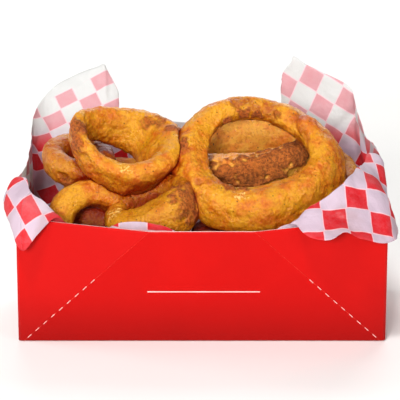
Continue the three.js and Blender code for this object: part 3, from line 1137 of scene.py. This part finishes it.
@dataclass
class OnionRing:
    """One battered ring, lying flat about its centre before it is leant, rolled and turned.

    `across` is half its length and half its width at the middle of its band, and `band` the band's width
    and height. `egg` narrows one end, `flare` opens it upward, `warp` bends it like a saddle, and `swell`
    makes the band fuller `toward` an angle. `spin` turns its long way, and `power` squares its section.
    Colour follows from `crust`, `pepper` and `toasting`, and from painted shade: `turned_away_shade` on
    the sides turned from `lit_side`, `browned_and_shaded` over the whole ring, which is part real
    browning, and `shelter` deep between the rings; each from 0 up.
    """

    name: str
    at: Triple
    across: tuple[float, float]
    band: tuple[float, float]
    lean: float = 0
    roll: float = 0
    turn: float = 0
    flare: float = 0
    egg: float = 0
    spin: float = 0
    warp: float = 0
    swell: float = 0
    toward: float = 0
    around: int = 200
    section: int = 64
    lumps: float = 1.0
    crust: float = 0.0
    pepper: float = 0.35
    toasting: float = 0.35
    marks: tuple[Mark, ...] = ()
    power: float = 2.6
    bulges: tuple[Bulge, ...] = ()
    turned_away_shade: float = 0.9
    browned_and_shaded: float = 0.0
    shelter: float = 1.0
    gold: Colour = FriedBatter.gold
    amber: Colour = FriedBatter.amber
    lit_side: Triple = (0, -0.66, 0.75)

    def placement(self) -> Matrix:
        """The matrix from the ring's own frame to the carton's."""
        turned = Euler([math.radians(a) for a in (self.lean, self.roll, self.turn)], "XYZ")
        spun = Matrix.Rotation(math.radians(self.spin), 4, "Z")
        return Matrix.Translation(self.at) @ turned.to_matrix().to_4x4() @ spun

    def narrow_at(self, turn: float) -> float:
        """Half the ring's width as it counts at an angle round it."""
        return self.across[1] * (1 - self.egg * math.cos(turn))

    def centre_at(self, turn: float) -> Vector:
        """The middle of the ring's section at an angle round it, in its own frame."""
        return Vector((self.across[0] * math.cos(turn), self.narrow_at(turn) * math.sin(turn),
                       self.warp * math.cos(2 * turn)))

    def surface_at(self, turn: float, roll: float) -> Vector:
        """A point of the smooth ring.

        Args:
            turn: The angle round the ring.
            roll: The angle round its section.

        Returns:
            The point in the ring's own frame.
        """
        out = Vector((math.cos(turn) / self.across[0], math.sin(turn) / self.narrow_at(turn))).normalized()
        size = 1 + self.swell * math.cos(turn + math.radians(self.spin - self.toward))
        wide, high = (full * size / 2 for full in self.band)
        c, s = math.cos(roll), math.sin(roll)
        tilt = self.flare
        for bulge in self.bulges:
            off = math.degrees(turn) + self.spin - bulge.toward
            share = smooth(bulge.spread, 0, abs((off + 180) % 360 - 180))
            wide += share * (bulge.outward if c > 0 else bulge.inward)
            high += share * (bulge.top if s > 0 else bulge.low)
            tilt += share * bulge.tilt
        tilt = math.radians(tilt)
        square = (abs(c) ** self.power + abs(s) ** self.power) ** (-1 / self.power)
        across, along = wide * square * c, high * square * s
        reach = across * math.cos(tilt) + along * math.sin(tilt)
        up = along * math.cos(tilt) - across * math.sin(tilt)
        return self.centre_at(turn) + Vector((out.x * reach, out.y * reach, up))

    def shape(self, above: Sequence[BVHTree]) -> bmesh.types.BMesh:
        """Shapes the ring: a section spun round, laid in place, made lumpy and pressed by what lies on it.

        Args:
            above: The finished surfaces that press into it.

        Returns:
            The mesh in the carton's frame, in millimetres, with its attributes.
        """
        bm = bmesh.new()
        lift = Matrix.Translation((SPUN_RADIUS, 0, 0)) @ Matrix.Rotation(math.pi / 2, 4, "X")
        bmesh.ops.create_circle(bm, segments=self.section, radius=1, matrix=lift)
        bmesh.ops.spin(bm, geom=bm.verts[:] + bm.edges[:], cent=(0, 0, 0), axis=(0, 0, 1),
                       angle=2 * math.pi, steps=self.around, use_merge=True)
        crust, pale, hollow, _ = (bm.verts.layers.float.new(name) for name in BATTER_LAYERS)
        place = self.placement()
        centres: dict[bmesh.types.BMVert, Vector] = {}
        for vert in bm.verts:
            turn = math.atan2(vert.co.y, vert.co.x)
            roll = math.atan2(vert.co.z, math.hypot(vert.co.x, vert.co.y) - SPUN_RADIUS)
            centres[vert] = place @ self.centre_at(turn)
            vert.co = place @ self.surface_at(turn, roll)
        bmesh.ops.recalc_face_normals(bm, faces=bm.faces)
        bm.normal_update()
        seed = Vector((self.at[1] * 3.7, self.at[0] * 1.3, self.at[2] * 2.1))
        moved = {}
        for vert in bm.verts:
            shift, vert[crust], vert[pale], vert[hollow] = self._relief(vert.co, seed)
            moved[vert] = vert.co + vert.normal * shift
        for vert, point in moved.items():
            vert.co = self._pressed(point, centres[vert], above)
        bm.normal_update()
        # painted shade: the batter browns the further its surface turns from the lit side
        lit_side = Vector(self.lit_side)
        for vert in bm.verts:
            turned_away = smooth(0.8, -0.3, vert.normal.dot(lit_side))
            # the whole ring also darkens by its browned share, part real browning and part painted shade
            vert[hollow] = max(vert[hollow], self.turned_away_shade * turned_away, self.browned_and_shaded)
        return bm

    def _relief(self, point: Vector, seed: Vector) -> tuple[float, float, float, float]:
        """How far the batter stands out at a point, how crusty and pale it is, and how much toast and
        painted shade it takes.
        """
        waves = [noise.noise(point * pitch + seed) for pitch, _ in BATTER_WAVES]
        broad, middle, blister, bubble = waves
        wrinkle = max(0.0, 1 - 2 * abs(noise.noise(point * 0.19 + seed * 2)))
        lumps = sum(wave * height for wave, (_, height) in zip(waves, BATTER_WAVES))
        shift = self.lumps * (lumps + wrinkle * 0.25 - 0.3)
        crust = self.crust * smooth(0.05, 0.4, broad * 0.7 + middle * 0.5 + blister * 0.4)
        pale = 0.0
        # painted shade: browner where the lumps dip low
        hollow = smooth(0.2, 0.6, -(middle * 0.6 + blister * 0.6 + bubble * 0.3)) * 0.35
        for mark in self.marks:
            away = (point - Vector(mark.at)).length / mark.size
            if away > 1.3:
                continue
            ragged = away + 0.45 * noise.noise(point * 0.28 + seed)
            strength = smooth(1.0, 0.45, ragged) * mark.amount
            if mark.look is Look.CRUMB:
                crust = max(crust, strength)
            elif mark.look is Look.PALE:
                pale = max(pale, strength)
            # pit marks darken as painted shade in their dents; toast marks brown the batter, with painted
            # shadow in some of them
            elif mark.look in (Look.PIT, Look.TOAST):
                hollow = max(hollow, strength)
            shift += mark.depth * strength
        if crust > 0.02:
            grains = noise.noise(point * 0.75 + seed) * 0.5 + noise.noise(point * 1.5 + seed) * 0.35
            shift += crust * (grains + 0.15)
        return shift, crust, pale, hollow

    @staticmethod
    def _pressed(point: Vector, centre: Vector, above: Sequence[BVHTree]) -> Vector:
        """A point drawn back towards its section's middle until it clears what presses on it."""
        for tree in above:
            reach = point - centre
            length = reach.length
            if length < 0.5:
                break
            way = reach / length
            hit, normal, _, distance = tree.ray_cast(centre, way, length + GAP)
            if hit is not None and normal.dot(way) < 0:
                point = centre + way * max(0.4, distance - GAP)
        return point


def showing_rings() -> list[OnionRing]:
    """The rings that show, from the top one down, named for where they lie."""
    crumb, pit, pale, lump, toast = Look.CRUMB, Look.PIT, Look.PALE, Look.LUMP, Look.TOAST
    return [
        OnionRing("ring_front_right", (36, -24, 105.5), (42, 37), (17, 26), lean=46, flare=-32, egg=0.2,
                  spin=-8, swell=0.16, toward=-60, around=420, section=124,
                  bulges=(Bulge(180, 75, outward=5.5), Bulge(-95, 70, outward=4.5, low=2.5)), lumps=1.25,
                  # the toast marks high on the inner top of the hole, at heights 129 to 140, are painted
                  # shadow under the ring's top
                  marks=marks_of(toast, (24, -5, 139.5, 8, -1.6), (42, -10.5, 133, 9, -0.8),
                                 (33, -8, 135, 7, 0.5), (19, -57, 87, 5, -0.6, 0.7),
                                 (2, -50, 95.5, 5, -1.0, 0.6), (78, -41, 102, 6, -0.4, 0.5),
                                 (-10, -34.5, 113.5, 5, -0.6, 0.8), (-2.4, -51, 97, 4, -1.0, 0.9),
                                 (22.5, -7, 138, 6, -0.6, 0.7), (61, -22.5, 123.5, 5, -0.6, 0.8),
                                 (63.5, -24, 119, 5, -0.5, 0.8), (43, -9.5, 129.5, 5, -0.3, 0.8))
                  + marks_of(crumb, (-8, -24, 113, 5, 0, 0.8), (47, -12, 132, 4.5, 0, 0.7),
                             (-12, -29, 117, 6, -0.8, 1.0), (17, -51, 93, 6, 0.3, 0.8),
                             (25, -52, 92.5, 6, 0.3, 0.8), (34, -49, 94, 5, 0.3, 0.6),
                             (16, -9, 126.5, 5, -0.4, 0.9), (25.5, -8, 131, 6, -0.8, 0.9),
                             (34, -8, 130, 5, -0.4, 0.9))
                  + marks_of(pit, (59, -17, 131, 6, -1.2), (-9, -23, 116, 6, -1.8))
                  + marks_of(lump, (64.5, -19, 126.5, 8, 2.2))
                  + marks_of(pale, (23, -57.5, 89.5, 6, -0.8, 0.5))),
        OnionRing("ring_front_left", (-50, -20, 112), (28.5, 24.5), (12.5, 27), lean=25, roll=15,
                  egg=-0.15, flare=14, warp=3, swell=0.12, toward=20, around=340, section=110, lumps=1.2,
                  bulges=(Bulge(20, 100, inward=3, tilt=20), Bulge(15, 75, low=7), Bulge(125, 55, low=-3),
                         Bulge(-80, 70, top=-4, low=2)),
                  marks=marks_of(crumb, (-75, -31, 127, 10, 0, 0.8), (-77, -36, 119, 10, 0, 0.8),
                                 (-35, -4, 125, 7, 0.2, 0.6), (-26, -7, 125, 8, 0.3, 0.7),
                                 (-18, -15, 123, 8, 0.3, 0.7), (-14, -20, 119, 6, 0.3, 0.6))
                  + marks_of(pit, (-70, -34, 119, 6, -0.8, 0.7), (-14, -20, 118, 5, -1.2, 0.8))
                  + marks_of(pale, (-46, -49, 107, 8, 0.2, 0.35))),
        OnionRing("ring_back_right", (28, 11, 100), (39, 26), (16, 28), lean=18, roll=-6, swell=0.05,
                  # painted light: this band is kept bright, with lighter gold and amber and little painted
                  # shade, where the ring in front would shade it
                  toward=-90, around=400, section=130, turned_away_shade=0.1, shelter=0.05, toasting=0.15,
                  bulges=(Bulge(90, 85, inward=4, top=3), Bulge(-90, 85, inward=7)),
                  gold=srgb("#e9a93f"), amber=srgb("#dc7d2a"),
                  marks=marks_of(toast, (26, 31, 118, 8, 0, 0.6))
                  + marks_of(crumb, (14, -20, 92, 15, 0.4, 1.0), (30, -22, 97, 16, 0.6, 1.0),
                             (44, -18, 103, 16, 0.6, 1.0), (58, -11, 107, 15, 0.4, 1.0))),
        OnionRing("ring_right_end", (77, 5, 89), (15, 20), (14, 22), lean=14, roll=12, crust=0.4,
                  toasting=0.9, browned_and_shaded=0.45, around=150, section=80),
        OnionRing("ring_small_left", (-78, -2, 100), (15, 17), (15, 19), lean=13, roll=14, turn=-10,
                  # partly painted shade: high toasting and browning darken a ring that lies partly in
                  # shade
                  flare=16, toasting=0.9, browned_and_shaded=0.6, around=200, section=80,
                  marks=marks_of(toast, (-86, -24, 94, 5, -2.2, 1.0), (-91, -5, 108, 8, -0.5, 0.8))
                  + marks_of(crumb, (-84, -22, 90, 6, -0.4, 0.6))),
        OnionRing("ring_arch_left", (-67.5, -38, 67), (20.5, 20.5), (17, 20), lean=74, turn=18,
                  around=200, section=80),
        OnionRing("ring_front_middle", (-30, -42, 77), (22, 18), (17, 24), lean=22, roll=-25, swell=0.1,
                  toward=-90, pepper=1.2, browned_and_shaded=0.3, around=240, section=96,
                  bulges=(Bulge(-80, 110, inward=11),),
                  marks=marks_of(toast, (-12, -48, 90, 16, 0, 0.9))
                  + marks_of(crumb, (-10, -56, 84, 17, 0.3, 0.7))
                  + marks_of(pale, (-54, -50, 78, 7, 0.2, 0.5))),
        OnionRing("ring_middle_left", (-56, 24, 80), (28, 18), (12, 22), lean=8, roll=-4, turn=14,
                  around=180, section=60, browned_and_shaded=0.6),
        # painted shade: dark all over, as it lies in shade under the rings above
        OnionRing("ring_under_right", (24, -37, 58), (24, 20), (14, 20), lean=8, crust=0.8, browned_and_shaded=0.9,
                  around=180, section=60),
    ]


def hidden_rings() -> list[OnionRing]:
    """The plain rings under those that show, from the top one down."""
    rows = (("third_right", (44, 14, 68), (34, 24), (14, 22), 4, -2),
            ("third_left", (-58, 4, 62), (30, 28), (14, 22), -4, 3),
            ("second_right", (40, -4, 40), (35, 30), (14, 24), 0, 0),
            ("second_left", (-42, 0, 40), (33, 32), (14, 24), 0, 0),
            ("first_right", (67, 2, 14.5), (20, 32), (14, 25), 0, 0),
            ("first_middle", (2, 2, 14.5), (30, 33), (14, 25), 0, 0),
            ("first_left", (-65, -2, 14.5), (21, 31), (14, 25), 0, 0))
    # painted shade: the hidden rings are dark all over, as they lie in shade
    return [OnionRing(f"ring_{name}", *places, around=110, section=36, browned_and_shaded=0.85)
            for name, *places in rows]


@dataclass
class RingPile:
    """The pile: each ring is laid under the ones before it, which press into it."""

    rings: list[OnionRing] = field(default_factory=lambda: showing_rings() + hidden_rings())
    rays: int = 9
    reach: float = 24
    clear: float = 0.6

    def build(self) -> list[bpy.types.Object]:
        """Builds and dresses every ring.

        Returns:
            The rings' pieces.
        """
        laid: list[BVHTree] = []
        meshes = []
        for ring in self.rings:
            meshes.append(ring.shape(laid))
            laid.append(BVHTree.FromBMesh(meshes[-1]))
        self._shelter(meshes)
        pieces = []
        for number, (ring, bm) in enumerate(zip(self.rings, meshes)):
            batter = FriedBatter(f"batter_{ring.name[5:]}", gold=ring.gold, amber=ring.amber,
                                 peppering=ring.pepper, toasting=ring.toasting,
                                 offset=(number * 0.37, number * 0.19, number * 0.53))
            piece = finish_mesh(bm, "battered_" + ring.name, [batter.make()])
            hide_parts(ring.name)
            pieces.append(piece)
        return pieces

    def _shelter(self, meshes: Sequence[bmesh.types.BMesh]) -> None:
        """Sets how much painted shade each corner of the rings takes: the more of its rays are blocked,
        the darker it is painted in the crevices.

        Args:
            meshes: The rings' meshes, with a "sheltered" layer each.
        """
        places: list[Vector] = []
        faces: list[list[int]] = []
        for bm in meshes:
            start = len(places)
            bm.verts.index_update()
            places += [vert.co.copy() for vert in bm.verts]
            faces += [[start + vert.index for vert in face.verts] for face in bm.faces]
        whole = BVHTree.FromPolygons(places, faces)
        for ring, bm in zip(self.rings, meshes):
            layer = bm.verts.layers.float["sheltered"]
            for vert in bm.verts:
                begin = vert.co + vert.normal * self.clear
                blocked = sum(whole.ray_cast(begin, way, self.reach)[0] is not None
                              for way in self._ways(vert.normal))
                # painted shade: the more of a corner's rays are blocked, the darker it is painted
                vert[layer] = ring.shelter * smooth(0.1, 0.9, blocked / self.rays)

    def _ways(self, normal: Vector) -> list[Vector]:
        """Directions spread evenly about a normal."""
        side = normal.orthogonal().normalized()
        other = normal.cross(side)
        ways = [normal]
        for i in range(1, self.rays):
            angle = GOLDEN_TURN * i
            lean = math.sqrt(i / self.rays)
            ways.append(normal * math.sqrt(1 - lean * lean)
                        + (side * math.cos(angle) + other * math.sin(angle)) * lean)
        return ways


# ---------------------------------------------------------------- studio

@dataclass(frozen=True)
class Lamp:
    """A soft square light: where it hangs, the point that it faces, its side and its power."""

    name: str
    at: Triple
    aim: Triple
    size: float
    power: float

    def build(self) -> None:
        """Hangs the light."""
        data = bpy.data.lights.new(self.name, "AREA")
        data.size = self.size
        data.energy = self.power
        lamp = bpy.data.objects.new(self.name, data)
        lamp.location = self.at
        lamp.rotation_euler = (Vector(self.aim) - Vector(self.at)).to_track_quat("-Z", "Y").to_euler()
        bpy.context.scene.collection.objects.link(lamp)


@dataclass
class Studio:
    """The pale floor, the soft lights and the camera, in metres."""

    camera_at: Triple = (-0.001226, -1.240298, 0.349440)
    camera_tilt: float = 77.5
    lens: float = 180
    floor: float = 6.0
    floor_drop: float = 0.0005
    sky: float = 0.13
    lamps: tuple[Lamp, ...] = (
        Lamp("front", (-0.6, -3.0, 0.82), (0, 0, 0.08), 0.6, 89),
        Lamp("top", (-0.4, -1.5, 2.6), (0, 0, 0.08), 0.45, 42),
        Lamp("fill", (1.9, -2.4, 0.9), (0, 0, 0.08), 1.2, 22),
        Lamp("back", (0.3, 3.0, 1.9), (0, 0.6, 0), 2.4, 76),
        Lamp("left", (-2.2, 0.6, 0.7), (-0.1, 0, 0.09), 1.0, 20),
    )

    def build(self) -> None:
        """Sets up the floor, the lights, the sky and the camera."""
        self._build_floor()
        for lamp in self.lamps:
            lamp.build()
        self._build_sky()
        self._build_camera()

    def _build_floor(self) -> None:
        """Lays the floor, a hair under the carton."""
        bm = bmesh.new()
        bmesh.ops.create_grid(bm, x_segments=8, y_segments=8, size=self.floor / 2)
        mesh = bpy.data.meshes.new("floor")
        bm.to_mesh(mesh)
        bm.free()
        mesh.materials.append(PaleFloor().make())
        ground = bpy.data.objects.new("floor", mesh)
        ground.location.z = -self.floor_drop
        bpy.context.scene.collection.objects.link(ground)

    def _build_sky(self) -> None:
        """Makes the sky white to look at, and faint as a light."""
        world = bpy.data.worlds.new("studio")
        world.use_nodes = True
        tree = world.node_tree
        sky = tree.nodes["Background"]
        sky.inputs["Color"].default_value = (1, 1, 1, 1)
        seen = tree.nodes.new("ShaderNodeLightPath").outputs["Is Camera Ray"]
        level = tree.nodes.new("ShaderNodeMapRange")
        level.inputs["To Min"].default_value = self.sky
        tree.links.new(seen, level.inputs["Value"])
        tree.links.new(level.outputs["Result"], sky.inputs["Strength"])
        bpy.context.scene.world = world

    def _build_camera(self) -> None:
        """Sets up the camera, which looks down at the front."""
        scene = bpy.context.scene
        camera = bpy.data.objects.new("camera", bpy.data.cameras.new("camera"))
        camera.data.lens = self.lens
        camera.data.sensor_width = 36
        camera.data.clip_start = 0.05
        camera.location = self.camera_at
        camera.rotation_euler = (math.radians(self.camera_tilt), 0, 0)
        scene.collection.objects.link(camera)
        scene.camera = camera
        scene.view_settings.view_transform = "Standard"


def main() -> None:
    """Builds the carton, the paper, the rings and the studio, in that order."""
    logging.basicConfig(level=logging.INFO, format="%(message)s")
    carton = Carton()
    pieces = [carton.build(), carton.build_marks(), carton.build_rule()]
    pieces.append(PaperLiner(carton).build())
    pieces += RingPile().build()
    Studio().build()
    for piece in pieces:
        log.info("%s: %d faces", piece.name, len(piece.data.polygons))


if __name__ == "__main__":
    main()
